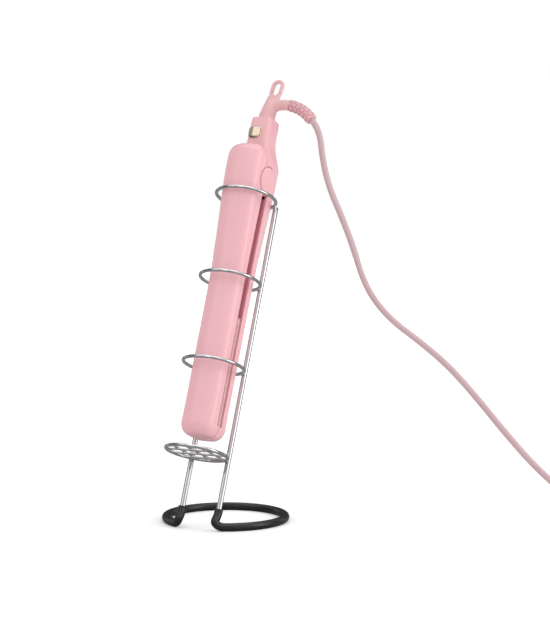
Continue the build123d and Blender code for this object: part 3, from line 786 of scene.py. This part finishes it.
floor_seen = add_node(floor_tree, "ShaderNodeMath", [
    (0, floor_far.outputs["Result"]), (1, floor_ray.outputs["Is Camera Ray"])], operation="MULTIPLY")
floor_glow = add_node(floor_tree, "ShaderNodeMix", [
    ("Factor", floor_seen.outputs[0]), ("A", (0.0, 0.0, 0.0, 1.0)), ("B", (1.0, 1.0, 1.0, 1.0))],
    data_type="RGBA")
floor_tree.links.new(floor_glow.outputs["Result"], floor_shader.inputs["Emission Color"])
floor_shader.inputs["Emission Strength"].default_value = 1.0
floor_mesh = bpy.data.meshes.new("floor")
floor_mesh.from_pydata([(-9, -9, 0), (9, -9, 0), (9, 9, 0), (-9, 9, 0)], [], [(0, 1, 2, 3)])
floor_mesh.materials.append(floor_material)
floor = bpy.data.objects.new("floor", floor_mesh)
bpy.context.scene.collection.objects.link(floor)

world = bpy.data.worlds.new("studio")
bpy.context.scene.world = world
world.use_nodes = True
sky = world.node_tree
background = sky.nodes["Background"]


def strip_ramp(source, stops):
    """Grey levels over a 0 to 1 value."""
    ramp = sky.nodes.new("ShaderNodeValToRGB")
    ramp.color_ramp.interpolation = "EASE"
    elements = ramp.color_ramp.elements
    elements[0].position, level = stops[0]
    elements[0].color = (level, level, level, 1.0)
    elements[1].position, level = stops[-1]
    elements[1].color = (level, level, level, 1.0)
    for position, level in stops[1:-1]:
        elements.new(position).color = (level, level, level, 1.0)
    sky.links.new(source, ramp.inputs["Fac"])
    return ramp


# What polished metal sees: dark all round but for some upright bright strips, and a bright ceiling.
# The camera sees an even white, and all other rays an even pale grey.
VIEW_AROUND = 0.173              # turns the sky so that its far side from the camera is at one half
direction = sky.nodes.new("ShaderNodeTexCoord")
split = add_node(sky, "ShaderNodeSeparateXYZ", [("Vector", direction.outputs["Generated"])])
height = add_node(sky, "ShaderNodeMath", [
    (0, split.outputs["Z"]), (1, 0.5), (2, 0.5)], operation="MULTIPLY_ADD")
turn = add_node(sky, "ShaderNodeMath", [
    (0, split.outputs["Y"]), (1, split.outputs["X"])], operation="ARCTAN2")
around = add_node(sky, "ShaderNodeMath", [(0, turn.outputs[0]), (1, 0.5 / math.pi), (2, VIEW_AROUND)],
                  operation="MULTIPLY_ADD")
centred = add_node(sky, "ShaderNodeMath", [(0, around.outputs[0])], operation="FRACT")
levels = strip_ramp(height.outputs[0], (
    (0.0, 0.12), (0.40, 0.05), (0.50, 0.0), (0.70, 0.04), (0.86, 0.15), (0.92, 0.9), (1.0, 1.1)))
flags = strip_ramp(centred.outputs[0], (
    (0.0, 0.28), (0.03, 0.3), (0.05, 0.75), (0.10, 0.8), (0.14, 0.3), (0.24, 0.14), (0.30, 0.05), (0.34, 0.1),
    (0.36, 1.5), (0.38, 0.1), (0.50, 0.05), (0.62, 0.1), (0.64, 1.5), (0.66, 0.1), (0.72, 0.04), (0.84, 0.08),
    (0.88, 0.3), (0.92, 0.9), (0.96, 0.8), (0.98, 0.35), (1.0, 0.28)))
reflected = add_node(sky, "ShaderNodeMix", [
    ("Factor", 1.0), ("A", flags.outputs[0]), ("B", levels.outputs[0])], data_type="RGBA", blend_type="ADD")
ray = sky.nodes.new("ShaderNodeLightPath")
lit = add_node(sky, "ShaderNodeMix", [
    ("Factor", ray.outputs["Is Camera Ray"]), ("A", (0.8, 0.8, 0.8, 1.0)), ("B", (1.0, 1.0, 1.0, 1.0))],
    data_type="RGBA")
pick = add_node(sky, "ShaderNodeMix", [
    ("Factor", ray.outputs["Is Glossy Ray"]), ("A", lit.outputs["Result"]),
    ("B", reflected.outputs["Result"])], data_type="RGBA")
sky.links.new(pick.outputs["Result"], background.inputs["Color"])
background.inputs["Strength"].default_value = 1.0


def softbox(name, place, target, size, power):
    light = bpy.data.lights.new(name, "AREA")
    light.shape = "RECTANGLE"
    light.size, light.size_y = size
    light.energy = power
    lamp = bpy.data.objects.new(name, light)
    lamp.location = place
    lamp.rotation_euler = (Vector(target) - Vector(place)).to_track_quat("-Z", "Y").to_euler()
    bpy.context.scene.collection.objects.link(lamp)


softbox("key", (-1.2, -1.6, 1.5), (0, 0, 0.18), (1.2, 1.2), 6)
softbox("fill", (1.7, 0.2, 0.7), (0, 0, 0.2), (1.0, 1.4), 11)
softbox("top", (0.0, 0.3, 2.0), (0, 0, 0.1), (1.6, 1.6), 5)

CAMERA_PLACE = Vector((0.69116, -1.22898, 0.25591))
CAMERA_TURN = math.radians(27.8)
CAMERA_DIP = math.radians(3.51)
camera_data = bpy.data.cameras.new("camera")
camera_data.lens = 92.4
camera_data.sensor_width = 36.0
camera = bpy.data.objects.new("camera", camera_data)
camera.location = CAMERA_PLACE
level = math.cos(CAMERA_DIP)
looking = Vector((-math.sin(CAMERA_TURN) * level, math.cos(CAMERA_TURN) * level, -math.sin(CAMERA_DIP)))
camera.rotation_euler = looking.to_track_quat("-Z", "Y").to_euler()
bpy.context.scene.collection.objects.link(camera)
bpy.context.scene.camera = camera
bpy.context.scene.view_settings.view_transform = "Standard"
